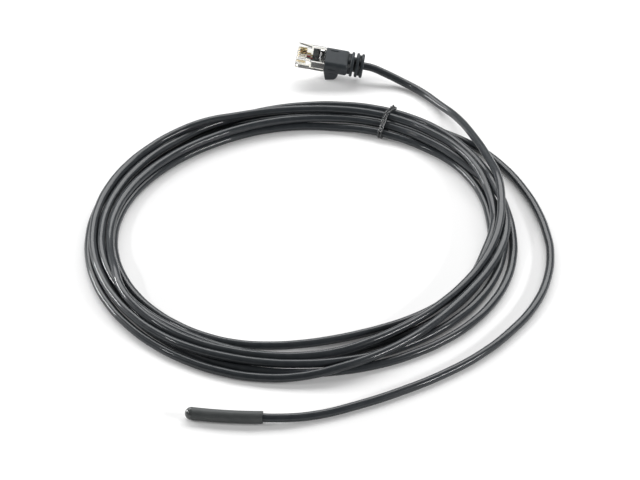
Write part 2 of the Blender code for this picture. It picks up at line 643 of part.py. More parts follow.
def make_boot():
    full = rounded_rectangle(BOOT_WIDTH, BOOT_HEIGHT, BOOT_CORNER)
    end_width = BOOT_WIDTH - 2 * BOOT_TAPER
    end_height = BOOT_HEIGHT - 2 * BOOT_TAPER
    small = rounded_rectangle(end_width, end_height, BOOT_CORNER - BOOT_TAPER / 2)
    sections = [(boot_front, full), (BOOT_BODY_END - BOOT_TAPER_LENGTH, full), (BOOT_BODY_END, small)]
    boot = add_piece("boot", lofted_mesh("boot", sections), boot_vinyl, plug_frame)

    # Hump over the latch's tail, and the ribbed tail with bridges across it and upright in turn
    hump = add_cutter("hump", prism_mesh("hump", hump_outline(), HUMP_WIDTH / 2), plug_frame)
    round_edges(hump, HUMP_EDGE, 2, math.radians(70))
    combine(boot, hump, "UNION")
    mesh = turned_mesh("tail", tail_profile(), 28, False, True)
    combine(boot, add_cutter("tail", mesh, plug_frame), "UNION")
    bridge_start = BOOT_BODY_END - BOOT_TAPER_LENGTH
    for index, place in enumerate(rib_places):
        across, upright = BRIDGE_REACH, BRIDGE_SIDE_WIDTH
        if index % 2 == 1:
            across, upright = BRIDGE_TOP_WIDTH, BRIDGE_REACH
        low = (bridge_start, -across / 2, -upright / 2)
        high = (place, across / 2, upright / 2)
        combine_box(boot, "bridge_%d" % (index + 1), low, high, "UNION")
        bridge_start = place

    # Pocket round the housing's skirt, then the filling that the moulding leaves inside the housing
    pocket_low = (boot_front - FIT_GAP, -SKIRT_WIDTH / 2 - FIT_GAP, -SKIRT_HEIGHT / 2 - FIT_GAP)
    pocket_high = (housing_length + FIT_GAP, SKIRT_WIDTH / 2 + FIT_GAP, SKIRT_HEIGHT / 2 + FIT_GAP)
    combine_box(boot, "pocket", pocket_low, pocket_high)
    fill_half = CAVITY_WIDTH / 2 - FIT_GAP
    fill_top = cavity_top - FIT_GAP
    fill_low = (CAVITY_START + FILLING_END_GAP, -fill_half, -fill_top)
    fill_high = (housing_length + SKIRT_LENGTH / 4, fill_half, fill_top)
    combine_box(boot, "filling", fill_low, fill_high, "UNION")
    notch_low = (WINDOW_START - BAR_THICKNESS, -WINDOW_WIDTH / 2 - FIT_GAP, cavity_top - BAR_DROP - FIT_GAP)
    notch_high = (WINDOW_START + WINDOW_LENGTH + FIT_GAP, WINDOW_WIDTH / 2 + FIT_GAP, fill_top + FIT_GAP)
    combine_box(boot, "bar_notch", notch_low, notch_high)

    # Way for the cores, bore for the jacket, and the hollow for the latch's tail
    core_half = (PLUG_CORE_COUNT - 1) * CONTACT_PITCH / 2 + CORE_DIAMETER / 2 + FIT_GAP
    ways_low = (CAVITY_START, -core_half, CHANNEL_Z - CORE_DIAMETER / 2 - FIT_GAP)
    ways_high = (BOOT_JACKET_START, core_half, CHANNEL_Z + CORE_DIAMETER / 2 + FIT_GAP)
    combine_box(boot, "core_way", ways_low, ways_high)
    bore_start = BOOT_JACKET_START - FIT_GAP
    bore_radius = jacket_radius + FIT_GAP
    past = boot_end + FIT_GAP
    profile = [(past, 0.0), (past, bore_radius), (bore_start, bore_radius), (bore_start, 0.0)]
    mesh = turned_mesh("jacket_bore", profile, 24, False, True)
    combine(boot, add_cutter("jacket_bore", mesh, plug_frame), "DIFFERENCE")
    hollow_half = LATCH_TAIL_WIDTH / 2 + 2 * FIT_GAP
    hollow_low = (HUMP_FRONT - 2 * HUMP_FRONT_LEAN, -hollow_half, hump_low + HUMP_WALL)
    hollow_high = (HUMP_FRONT + HUMP_CAVITY_LENGTH, hollow_half, boot_bottom - FIT_GAP)
    combine_box(boot, "latch_hollow", hollow_low, hollow_high)

    # Long shallow marks moulded into the top and both sides
    mark_end = MARK_START + MARK_LENGTH
    place = BOOT_WIDTH / 2 - MARK_INSET
    boot_top = BOOT_HEIGHT / 2
    low = (MARK_START, place - MARK_WIDTH / 2, boot_top - MARK_DEPTH)
    high = (mark_end, place + MARK_WIDTH / 2, boot_top + MARK_DEPTH)
    combine_box(boot, "top_mark", low, high)
    for side, name in ((1, "left"), (-1, "right")):
        edges = sorted((side * (BOOT_WIDTH / 2 - MARK_DEPTH), side * (BOOT_WIDTH / 2 + MARK_DEPTH)))
        low = (MARK_START, edges[0], -MARK_WIDTH / 2)
        high = (mark_end, edges[1], MARK_WIDTH / 2)
        combine_box(boot, "side_mark_" + name, low, high)


# Coil: section outline in (distance across the coil, height), drawn in by an inset
def coil_section(inset, steps=3):
    width = COIL_WIDTH - 2 * inset
    height = COIL_HEIGHT - 2 * inset
    return rounded_rectangle(width, height, COIL_CORNER - inset / 2, (0.0, COIL_HEIGHT / 2), steps)


tie_depth = TIE_WIRE + FIT_GAP + FLOOR_GAP
tie_width = 2 * TIE_PITCH + TIE_WIRE + 2 * FIT_GAP
tie_place = Matrix.Translation((COIL_CENTRE_X, COIL_CENTRE_Y, 0.0)) @ Matrix.Rotation(TIE_ANGLE, 4, "Z")
tie_place = tie_place @ Matrix.Translation((COIL_MEAN_RADIUS, 0.0, 0.0))


def make_cable_coil():
    # Turned ring, with a waist where the tie draws the turns together
    profile = [(height, COIL_MEAN_RADIUS + across) for across, height in reversed(coil_section(0.0))]
    mesh = turned_mesh("cable_coil", profile, 72, True, False)
    coil = add_piece("cable_coil", shift(mesh, COIL_CENTRE_X, COIL_CENTRE_Y), jacket_vinyl)
    reach = COIL_WIDTH / 2 + tie_depth
    low = (-reach, -tie_width / 2, -tie_depth)
    high = (reach, tie_width / 2, COIL_HEIGHT + tie_depth)
    groove = add_cutter("tie_groove", box_mesh("tie_groove", low, high))
    waist = add_cutter("tie_waist", prism_mesh("tie_waist", coil_section(tie_depth), tie_width))
    groove.matrix_world = tie_place
    waist.matrix_world = tie_place
    combine(groove, waist, "DIFFERENCE")
    combine(coil, groove, "DIFFERENCE")


def make_twist_tie():
    # Two wraps round the waist, then both ends twisted together outside the coil
    outline = coil_section(FLOOR_GAP + TIE_WIRE / 2, 5)
    knot = max(range(len(outline)), key=lambda index: outline[index][0] + outline[index][1])
    loop = [outline[(knot - step) % len(outline)] for step in range(len(outline))]
    points = []
    for step in range(2 * len(loop) + 1):
        across, height = loop[step % len(loop)]
        sideways = TIE_PITCH * (step / len(loop) - 1)
        points.append(Vector((across, sideways, height)))
    outward = Vector((math.cos(TIE_TAIL_RISE), 0.0, math.sin(TIE_TAIL_RISE)))
    upward = Vector((-math.sin(TIE_TAIL_RISE), 0.0, math.cos(TIE_TAIL_RISE)))
    knot_place = Vector((loop[0][0], 0.0, loop[0][1]))
    spread = TIE_WIRE / 2 + FIT_GAP
    tails = []
    for side in (-1, 1):
        tail = []
        steps = 12
        for step in range(steps + 1):
            angle = 2 * math.pi * TIE_TWISTS * step / steps
            sideways = Vector((0.0, side * spread * math.cos(angle), 0.0))
            along = outward * (2 * TIE_WIRE + TIE_TAIL * step / steps)
            tail.append(knot_place + along + sideways + upward * side * spread * math.sin(angle))
        tails.append(tail)
    route = list(reversed(tails[0])) + points + tails[1]
    even = smooth_route([tie_place @ point for point in route], TIE_WIRE * 1.3)
    tube("twist_tie", even, TIE_WIRE, tie_cover)


# Free stretches of cable
lying = jacket_radius + FLOOR_GAP


def beside_coil(angle, height):
    # Where the cable's centre is when it just clears the coil's outer side at that height
    corner = min(max(height, COIL_CORNER), COIL_HEIGHT - COIL_CORNER)
    reach = COIL_CORNER + jacket_radius + FIT_GAP
    radius = COIL_MEAN_RADIUS + COIL_WIDTH / 2 - COIL_CORNER + math.sqrt(reach ** 2 - (height - corner) ** 2)
    away = Vector((radius * math.cos(angle), radius * math.sin(angle), height))
    return Vector((COIL_CENTRE_X, COIL_CENTRE_Y, 0.0)) + away


def make_leads():
    start = Vector((sleeve_back + FIT_GAP, 0.0, probe_height))
    route = [start, start + Vector((CABLE_DIAMETER, 0.0, 0.0))]
    route += [Vector((x, y, lying + lift)) for x, y, lift in PROBE_LEAD_ROUTE]
    route.append(beside_coil(PROBE_LEAD_END, lying))
    tube("probe_lead", smooth_route(route, ROUTE_STEP), CABLE_DIAMETER, jacket_vinyl)
    along = plug_turn @ Vector((1.0, 0.0, 0.0))
    outlet = Vector((PLUG_X, PLUG_Y, plug_z)) + along * (boot_end + FIT_GAP)
    route = [outlet, outlet + along * CABLE_DIAMETER]
    route += [Vector((x, y, lying + lift)) for x, y, lift in PLUG_LEAD_ROUTE]
    route.append(beside_coil(PLUG_LEAD_END, lying + PLUG_LEAD_END_LIFT))
    tube("plug_lead", smooth_route(route, ROUTE_STEP), CABLE_DIAMETER, jacket_vinyl)


make_probe_sleeve()
make_probe_tip()
make_thermistor()
make_probe_wiring()
make_plug_housing()
make_contacts()
make_plug_wiring()
make_boot()
make_cable_coil()
make_twist_tie()
make_leads()
bpy.context.view_layer.update()
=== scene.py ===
# Rack temperature sensor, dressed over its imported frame: the cable laid in its six turns, the rubber
# sleeve and its potted nose, the clear plug with its gold blades, the ribbed boot and the wire tie.
# Metres, +Z up.
import math

import bpy
import numpy as np
from mathutils import Euler, Matrix, Vector


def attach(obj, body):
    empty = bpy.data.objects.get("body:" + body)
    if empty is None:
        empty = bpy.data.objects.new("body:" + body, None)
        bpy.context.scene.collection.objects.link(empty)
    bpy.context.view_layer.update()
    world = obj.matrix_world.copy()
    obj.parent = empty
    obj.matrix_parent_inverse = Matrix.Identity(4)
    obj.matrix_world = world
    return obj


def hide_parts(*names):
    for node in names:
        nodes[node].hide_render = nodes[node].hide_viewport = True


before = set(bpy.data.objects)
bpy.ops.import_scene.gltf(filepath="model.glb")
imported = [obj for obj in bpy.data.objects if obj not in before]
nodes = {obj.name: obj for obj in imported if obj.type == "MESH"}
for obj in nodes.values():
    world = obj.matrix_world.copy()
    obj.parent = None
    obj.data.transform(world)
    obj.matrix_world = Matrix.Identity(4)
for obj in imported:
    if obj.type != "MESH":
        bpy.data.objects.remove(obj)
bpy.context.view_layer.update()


# Camera: in front of the probe and above it, a little to its right, with a long lens as for a small
# product. It looks down on the coil by about 37 degrees, so that the ring shows as a wide oval.
SENSOR_WIDTH_MM = 36.0
LENS_MM = 159.1

camera_data = bpy.data.cameras.new("camera")
camera_data.sensor_width = SENSOR_WIDTH_MM
camera_data.lens = LENS_MM
camera = bpy.data.objects.new("camera", camera_data)
bpy.context.scene.collection.objects.link(camera)
camera_place = Vector((0.1255, -0.9454, 0.8196))
looked_at = Vector((0.0309, 0.1358, 0.0))
camera.location = camera_place
camera.rotation_euler = (looked_at - camera_place).to_track_quat("-Z", "Y").to_euler()
bpy.context.scene.camera = camera


# Cable: one round four-core cord in a black extruded vinyl jacket, from inside the probe's sleeve to
# inside the plug's boot. It is wound by hand in six turns that lie beside and on each other, crossing now
# and then, and tied once at the back.
CABLE_RADIUS = 0.0020
LYING_HEIGHT = 0.00205
SLEEVE_END = Vector((0.01735, 0.0, 0.0029))
JACKET_IN_SLEEVE = 0.0120
STRAIGHT_INSIDE = 0.0040
STRAIGHT_OUTSIDE = 0.0043
COIL_X = 0.0227
COIL_Y = 0.1351
COIL_ZERO = math.radians(5.0)
TURN_STEP = 5.0
STRAND_GAP = 0.00404
TIE_ANGLE = 65.5
TIE_RADIUS = 0.00055
TIE_ROOM = 2.1 * TIE_RADIUS
TIE_REACH = 14.0

# From the sleeve along the surface to the right of the coil: x, y
PROBE_LEAD = [
    (0.0395, 0.0043), (0.0595, 0.0136), (0.0780, 0.0249), (0.0957, 0.0381), (0.1116, 0.0534),
    (0.1245, 0.0710), (0.1348, 0.0909), (0.1404, 0.1123), (0.1413, 0.1343),
]

# Round the coil: degrees from its right side, distance from its centre and height of the strand, in mm
TURNS = [
    # First turn: on the surface at the outside, up over the others at the front
    [
        (0, 117.5, 2.05), (10, 115.7, 2.05), (20, 114.7, 2.05), (35, 114.6, 2.05), (45, 114.0, 2.05),
        (53, 111.6, 2.05), (61, 107.8, 2.05), (70, 106.3, 2.05), (80, 105.8, 2.05), (90, 105.1, 2.05),
        (105, 104.2, 2.05), (120, 103.4, 2.05), (140, 102.9, 2.05), (160, 102.4, 2.05), (180, 102.5, 2.05),
        (190, 103.0, 2.05), (200, 103.5, 2.05), (215, 104.6, 2.05), (230, 106.2, 2.05), (245, 107.6, 2.05),
        (255, 108.0, 2.05), (262, 107.4, 2.05), (268, 106.9, 2.3), (273, 106.1, 3.9), (278, 104.8, 5.5),
        (284, 102.6, 6.2), (290, 100.3, 6.2), (300, 96.3, 6.0), (310, 93.3, 6.0), (320, 90.8, 6.0),
        (330, 90.8, 6.0), (340, 92.8, 6.3), (350, 95.3, 7.2),
    ],
    # Second turn: over the right side, outermost at the tie, then the middle and down to the surface
    [
        (0, 98.0, 8.0), (10, 98.5, 8.3), (20, 99.4, 8.0), (30, 101.3, 7.5), (40, 104.4, 7.0),
        (50, 106.8, 6.9), (60, 107.8, 7.2), (70, 107.9, 7.1), (80, 107.0, 6.5), (90, 105.5, 5.8),
        (100, 103.5, 5.3), (113, 100.5, 5.5), (125, 98.2, 5.5), (140, 97.0, 5.5), (160, 96.4, 5.5),
        (180, 96.4, 5.5), (200, 96.5, 5.5), (215, 96.0, 5.5), (230, 95.0, 5.2), (250, 93.2, 3.5),
        (265, 91.6, 2.1), (280, 90.4, 2.05), (300, 88.4, 2.05), (320, 89.0, 2.05), (340, 90.4, 2.05),
    ],
    # Third turn: innermost on the surface, drawn in at the front
    [
        (0, 90.5, 2.05), (10, 91.2, 2.05), (20, 93.6, 2.05), (30, 96.0, 2.05), (45, 96.9, 2.05),
        (60, 94.6, 2.05), (70, 93.6, 2.05), (90, 93.1, 2.05), (105, 91.4, 2.05), (120, 89.2, 2.05),
        (140, 88.9, 2.05), (150, 89.4, 2.05), (160, 90.2, 2.05), (180, 90.8, 2.05), (200, 90.3, 2.05),
        (220, 89.8, 2.05), (230, 89.2, 2.05), (240, 88.4, 2.05), (250, 87.2, 2.05), (260, 84.0, 2.05),
        (270, 81.4, 2.05), (280, 79.4, 2.05), (290, 78.6, 2.05), (300, 79.3, 2.05), (310, 81.1, 2.05),
        (320, 82.8, 2.05), (330, 84.7, 2.05), (340, 86.3, 2.4), (350, 88.6, 3.9),
    ],
    # Fourth turn: on top of the back, down again at the front
    [
        (0, 91.0, 5.4), (10, 94.0, 5.9), (20, 96.0, 7.0), (30, 98.3, 7.8), (45, 100.3, 8.8),
        (60, 101.5, 8.9), (70, 101.1, 8.9), (90, 97.8, 8.9), (110, 97.8, 8.9), (120, 99.2, 8.6),
        (140, 100.8, 8.0), (160, 100.8, 7.0), (180, 100.5, 5.8), (200, 100.7, 5.6), (215, 101.5, 5.6),
        (230, 102.7, 5.6), (240, 102.8, 5.6), (250, 101.8, 5.6), (260, 100.5, 5.6), (270, 99.8, 5.4),
        (280, 97.6, 3.8), (290, 96.0, 2.4), (300, 95.2, 2.05), (320, 95.4, 2.05), (340, 96.0, 2.05),
    ],
    # Fifth turn: on the surface all the way round
    [
        (0, 96.4, 2.05), (10, 97.0, 2.05), (20, 98.8, 2.05), (30, 101.0, 2.05), (45, 103.3, 2.05),
        (60, 103.3, 2.05), (75, 102.3, 2.05), (90, 100.8, 2.05), (105, 99.5, 2.05), (120, 98.5, 2.05),
        (140, 97.9, 2.05), (160, 97.6, 2.05), (180, 97.6, 2.05), (200, 98.1, 2.05), (215, 98.9, 2.05),
        (230, 100.7, 2.05), (250, 102.8, 2.05), (270, 102.6, 2.05), (300, 102.2, 2.05), (320, 102.7, 2.05),
        (340, 102.1, 2.05),
    ],
    # Sixth turn: second layer inside, then over the left side and the front
    [
        (0, 100.7, 2.05), (10, 100.3, 2.6), (20, 98.8, 4.2), (30, 97.3, 5.4), (45, 96.8, 5.5),
        (60, 98.3, 5.5), (70, 97.8, 5.5), (90, 94.2, 5.8), (105, 91.5, 5.9), (120, 89.6, 5.9),
        (140, 89.4, 5.9), (160, 91.2, 5.6), (175, 92.0, 5.6), (190, 92.6, 6.0), (200, 94.6, 7.6),
        (210, 97.6, 8.6), (220, 98.9, 8.0), (230, 99.2, 7.0), (240, 98.0, 5.8), (250, 96.6, 5.6),
        (260, 95.6, 5.6), (270, 94.9, 5.6), (280, 93.3, 5.6), (290, 89.8, 5.8), (300, 87.3, 5.8),
        (310, 86.2, 5.9), (320, 85.5, 6.0), (330, 86.2, 6.0), (340, 88.2, 6.8), (350, 91.0, 8.2),
    ],
    # Where it leaves the coil over the right side, towards the plug
    [
        (0, 94.4, 10.0), (10, 97.3, 11.6), (20, 100.8, 12.2), (30, 104.9, 11.0), (40, 111.0, 9.2),
        (46, 117.4, 7.6),
    ],
]

# From the coil down to the surface and up into the boot: x, y, z
PLUG_LEAD = [
    (0.0910, 0.2390, 0.00485), (0.0828, 0.2510, 0.00285), (0.0718, 0.2637, 0.00225),
    (0.0612, 0.2708, 0.00335), (0.0523, 0.2742, 0.00565),
]

# Where the plug lies, nose to the left and rolled a little away from its latch; X runs from its nose
PLUG_NOSE = (0.0065, 0.27585, 0.013459)
PLUG_ROLL = math.radians(16.7)
PLUG_PITCH = math.radians(8.7)
JACKET_IN_BOOT = 0.0222
BOOT_END = 0.03505
plug_lies = Matrix.Translation(PLUG_NOSE) @ Euler((PLUG_ROLL, PLUG_PITCH, 0.0), "XYZ").to_matrix().to_4x4()

# How the turns settle: rounds in all, the last of them for pushing apart alone, the share of an overlap
# that a round takes away, how stiff the cable is, and how strongly it is held to its aim
SETTLING_ROUNDS = 400
PUSHING_ROUNDS = 25
PUSH_SHARE = 0.6
STIFFNESS = 0.15
HOLD = 0.08


def settle_turns():
    # The turns rest on the surface, on the tie where it passes under them, and on each other, each pair
    # at least a diameter apart
    angles = np.array([angle + 360 * turn for turn, row in enumerate(TURNS) for angle, _, _ in row], float)
    aimed = [np.array([key[column] for row in TURNS for key in row], float) / 1000 for column in (1, 2)]
    stations = np.arange(angles[0], angles[-1] + 0.001, TURN_STEP)
    laid = [np.interp(stations, angles, values) for values in aimed]
    for _ in range(2):
        for values in laid:
            values[1:-1] = 0.25 * values[:-2] + 0.5 * values[1:-1] + 0.25 * values[2:]
    radius, height = laid
    aimed_radius, aimed_height = radius.copy(), height.copy()
    from_tie = np.abs((stations - TIE_ANGLE + 180) % 360 - 180)
    over_tie = 0.5 + 0.5 * np.cos(math.pi * np.minimum(from_tie / TIE_REACH, 1.0))
    resting = LYING_HEIGHT + TIE_ROOM * over_tie
    per_turn = round(360 / TURN_STEP)
    for step in range(SETTLING_ROUNDS):
        out = np.zeros(len(stations))
        up = np.zeros(len(stations))
        for turns_apart in range(1, len(TURNS)):
            count = len(stations) - turns_apart * per_turn
            if count <= 0:
                break
            lower, later = slice(0, count), slice(turns_apart * per_turn, None)
            across, rise = radius[later] - radius[lower], height[later] - height[lower]
            distance = np.hypot(across, rise) + 1e-9
            push = 0.5 * np.clip(STRAND_GAP - distance, 0, None) / distance
            out[lower] -= push * across
            out[later] += push * across
            up[lower] -= push * rise
            up[later] += push * rise
        radius += PUSH_SHARE * out
        height += PUSH_SHARE * up
        if step < SETTLING_ROUNDS - PUSHING_ROUNDS:
            for values, goal in ((radius, aimed_radius), (height, aimed_height)):
                values[1:-1] += STIFFNESS * (0.25 * (values[:-2] + values[2:]) - 0.5 * values[1:-1])
                values += HOLD * (goal - values)
        np.maximum(height, resting, out=height)
    return stations, radius, height


def round_coil(angle, radius, height):
    # A place by its angle round the coil in degrees, its distance from the centre and its height
    turned = math.radians(angle) + COIL_ZERO
    return Vector((COIL_X + radius * math.cos(turned), COIL_Y + radius * math.sin(turned), height))


def lay_curve(name, route, radius, round_steps, length_steps):
    # A round cord or wire with closed ends, smooth from point to point of its route
    curve = bpy.data.curves.new(name, "CURVE")
    curve.dimensions = "3D"
    curve.bevel_depth = radius
    curve.bevel_resolution = round_steps
    curve.resolution_u = length_steps
    curve.use_fill_caps = True
    line = curve.splines.new("BEZIER")
    line.bezier_points.add(len(route) - 1)
    for point, place in zip(line.bezier_points, route):
        point.co = place
        point.handle_left_type = "AUTO"
        point.handle_right_type = "AUTO"
    laid = bpy.data.objects.new(name, curve)
    bpy.context.scene.collection.objects.link(laid)
    return laid


strand_angles, strand_radii, strand_heights = settle_turns()
along_probe = Vector((1.0, 0.0, 0.0))
along_plug = plug_lies.to_3x3() @ Vector((1.0, 0.0, 0.0))
outlet = plug_lies @ Vector((BOOT_END, 0.0, 0.0))

cable_route = [SLEEVE_END - along_probe * JACKET_IN_SLEEVE, SLEEVE_END - along_probe * STRAIGHT_INSIDE]
cable_route += [SLEEVE_END + along_probe * STRAIGHT_OUTSIDE]
cable_route += [Vector((x, y, LYING_HEIGHT)) for x, y in PROBE_LEAD]
for strand in list(zip(strand_angles, strand_radii, strand_heights))[::2]:
    cable_route.append(round_coil(*strand))
cable_route += [Vector(place) for place in PLUG_LEAD]
cable_route += [outlet + along_plug * STRAIGHT_OUTSIDE, outlet - along_plug * STRAIGHT_INSIDE]
cable_route += [plug_lies @ Vector((JACKET_IN_BOOT, 0.0, 0.0))]
cable = lay_curve("cable", cable_route, CABLE_RADIUS, 6, 8)


def shader_of(material):
    # The node that holds the material's colour, gloss and clearness
    return material.node_tree.nodes["Principled BSDF"]


def plain_material(name, colour, roughness):
    # A new material, still the same all over
    material = bpy.data.materials.new(name)
    material.use_nodes = True
    shader_of(material).inputs["Base Color"].default_value = (*colour, 1.0)
    shader_of(material).inputs["Roughness"].default_value = roughness
    return material


def object_noise(material, scale, detail=3.0, stretch=(1.0, 1.0, 1.0)):
    # Noise in the object's own coordinates, drawn out where stretch is below one
    tree = material.node_tree
    coordinates = tree.nodes.new("ShaderNodeTexCoord")
    mapping = tree.nodes.new("ShaderNodeMapping")
    mapping.inputs["Scale"].default_value = stretch
    noise = tree.nodes.new("ShaderNodeTexNoise")
    noise.inputs["Scale"].default_value = scale
    noise.inputs["Detail"].default_value = detail
    tree.links.new(coordinates.outputs["Object"], mapping.inputs["Vector"])
    tree.links.new(mapping.outputs["Vector"], noise.inputs["Vector"])
    return noise


def vary_colour(material, noise, dark, light, low=0.35, high=0.65):
    # Two close tones of one colour, mixed by the noise
    tree = material.node_tree
    ramp = tree.nodes.new("ShaderNodeValToRGB")
    ramp.color_ramp.elements[0].position = low
    ramp.color_ramp.elements[0].color = (*dark, 1.0)
    ramp.color_ramp.elements[1].position = high
    ramp.color_ramp.elements[1].color = (*light, 1.0)
    tree.links.new(noise.outputs["Fac"], ramp.inputs["Fac"])
    tree.links.new(ramp.outputs["Color"], shader_of(material).inputs["Base Color"])


def vary_roughness(material, noise, smooth, rough):
    # From smooth to rough where the noise goes from low to high
    tree = material.node_tree
    spread = tree.nodes.new("ShaderNodeMapRange")
    spread.inputs["From Min"].default_value = 0.3
    spread.inputs["From Max"].default_value = 0.7
    spread.inputs["To Min"].default_value = smooth
    spread.inputs["To Max"].default_value = rough
    tree.links.new(noise.outputs["Fac"], spread.inputs["Value"])
    tree.links.new(spread.outputs["Result"], shader_of(material).inputs["Roughness"])


def add_bump(material, noise, strength, distance):
    # A fine unevenness of the surface, in light only
    tree = material.node_tree
    bump = tree.nodes.new("ShaderNodeBump")
    bump.inputs["Strength"].default_value = strength
    bump.inputs["Distance"].default_value = distance
    tree.links.new(noise.outputs["Fac"], bump.inputs["Height"])
    tree.links.new(bump.outputs["Normal"], shader_of(material).inputs["Normal"])


jacket_vinyl = plain_material("jacket_vinyl", (0.029, 0.033, 0.037), 0.36)
jacket_shader = shader_of(jacket_vinyl)
jacket_shader.inputs["Specular IOR Level"].default_value = 0.15
jacket_shader.inputs["Coat Weight"].default_value = 0.46
jacket_shader.inputs["Coat Roughness"].default_value = 0.07
jacket_noise = object_noise(jacket_vinyl, 320.0)
vary_colour(jacket_vinyl, jacket_noise, (0.026, 0.030, 0.034), (0.032, 0.036, 0.040))
vary_roughness(jacket_vinyl, jacket_noise, 0.32, 0.42)
add_bump(jacket_vinyl, object_noise(jacket_vinyl, 500.0, 1.0), 0.02, 0.0001)
cable.data.materials.append(jacket_vinyl)
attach(cable, "root")
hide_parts("probe_lead", "cable_coil", "plug_lead", "probe_jacket_end", "plug_jacket_end")


# Probe sleeve: a length of matte black rubber tube pushed over the cable's end, which it grips. It is
# cut square at both ends, and lies with a slight bow.
SLEEVE_RADIUS = 0.0029
SLEEVE_WALL = 0.0006
SLEEVE_LENGTH = 0.0316
SLEEVE_RINGS = 16
SLEEVE_BOW = 0.0007
SLEEVE_RIM = 0.00010
sleeve_front = SLEEVE_END.x - SLEEVE_LENGTH

# A round primitive's turn about Y, which lays it along X
LAID_ALONG = (0.0, math.radians(90), 0.0)


def only(piece):
    # Out of edit mode, with nothing but this piece selected and active
    if bpy.context.mode != "OBJECT":
        bpy.ops.object.mode_set(mode="OBJECT")
    bpy.ops.object.select_all(action="DESELECT")
    piece.select_set(True)
    bpy.context.view_layer.objects.active = piece


def pick(piece, kind, chosen):
    # Edit mode, with only the points, edges or faces selected that the test picks by their place
    only(piece)
    bpy.ops.object.mode_set(mode="EDIT")
    bpy.ops.mesh.select_mode(type=kind)
    bpy.ops.mesh.select_all(action="DESELECT")
    bpy.ops.object.mode_set(mode="OBJECT")
    mesh = piece.data
    if kind == "VERT":
        for vertex in mesh.vertices:
            vertex.select = chosen(vertex.co)
    elif kind == "EDGE":
        for edge in mesh.edges:
            edge.select = chosen(*[mesh.vertices[index].co for index in edge.vertices])
    else:
        for face in mesh.polygons:
            face.select = chosen(face.center, face.normal)
    bpy.ops.object.mode_set(mode="EDIT")


def extrude(shift):
    # Draw what is selected out by the shift, with new faces behind it
    bpy.ops.mesh.extrude_region_move(TRANSFORM_OT_translate={"value": shift})


def apply_place():
    # The new primitive's place and size go into its mesh
    bpy.ops.object.transform_apply(location=True, rotation=True, scale=True)
    return bpy.context.object


def bevel_corners(piece, width, segments, angle=40.0):
    # Round every edge that turns by more than the angle
    only(piece)
    bevel = piece.modifiers.new("soft_edges", "BEVEL")
    bevel.width = width
    bevel.segments = segments
    bevel.limit_method = "ANGLE"
    bevel.angle_limit = math.radians(angle)
    bpy.ops.object.modifier_apply(modifier=bevel.name)


def smooth_faces(piece, angle=35.0):
    # Rounded faces shade smoothly, and flat ones stay flat beside their soft edges
    only(piece)
    bpy.ops.object.shade_smooth_by_angle(angle=math.radians(angle))
    weighted = piece.modifiers.new("flat_faces", "WEIGHTED_NORMAL")
    weighted.keep_sharp = True
    bpy.ops.object.modifier_apply(modifier=weighted.name)


def bow(place):
    # How far the middle of the sleeve stands forward at a place along it
    share = (place - sleeve_front) / SLEEVE_LENGTH
    return -4 * SLEEVE_BOW * share * (1 - share)


bpy.ops.object.select_all(action="DESELECT")
bpy.ops.mesh.primitive_circle_add(
    vertices=64, radius=SLEEVE_RADIUS, location=(sleeve_front, 0.0, SLEEVE_RADIUS),
    rotation=LAID_ALONG)
sleeve = apply_place()
sleeve.name = "rubber_sleeve"
pick(sleeve, "VERT", lambda place: True)
for ring in range(SLEEVE_RINGS):
    start = sleeve_front + SLEEVE_LENGTH * ring / SLEEVE_RINGS
    finish = sleeve_front + SLEEVE_LENGTH * (ring + 1) / SLEEVE_RINGS
    extrude((finish - start, bow(finish) - bow(start), 0.0))
bpy.ops.mesh.select_all(action="SELECT")
bpy.ops.mesh.normals_make_consistent(inside=False)
bpy.ops.object.mode_set(mode="OBJECT")
wall = sleeve.modifiers.new("wall", "SOLIDIFY")
wall.thickness = SLEEVE_WALL
wall.offset = -1.0
bpy.ops.object.modifier_apply(modifier=wall.name)
bevel_corners(sleeve, SLEEVE_RIM, 3)
smooth_faces(sleeve)

sleeve_rubber = plain_material("sleeve_rubber", (0.064, 0.069, 0.069), 0.55)
shader_of(sleeve_rubber).inputs["Specular IOR Level"].default_value = 0.38
sleeve_noise = object_noise(sleeve_rubber, 500.0, 4.0, (0.5, 1.0, 1.0))
vary_colour(sleeve_rubber, sleeve_noise, (0.058, 0.063, 0.063), (0.071, 0.076, 0.076))
vary_roughness(sleeve_rubber, sleeve_noise, 0.50, 0.62)
add_bump(sleeve_rubber, object_noise(sleeve_rubber, 3000.0, 2.0), 0.15, 0.00005)
sleeve.data.materials.append(sleeve_rubber)
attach(sleeve, "root")
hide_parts("probe_sleeve")


# Probe tip: the rounded nose of glossy black potting resin that seals the sleeve's end and holds the
# bead. It is cast round, with a short plain shoulder against the sleeve and a thinner spigot inside it.
TIP_GAP = 0.00005
TIP_SHOULDER = 0.00015
TIP_EDGE = 0.00006
SPIGOT_RADIUS = 0.0020
SPIGOT_LENGTH = 0.0024
BEAD_HOLE_RADIUS = 0.0012
BEAD_HOLE_END = -0.0157
NEAR = 0.00001
tip_back = sleeve_front - TIP_GAP
dome_middle = tip_back - TIP_SHOULDER

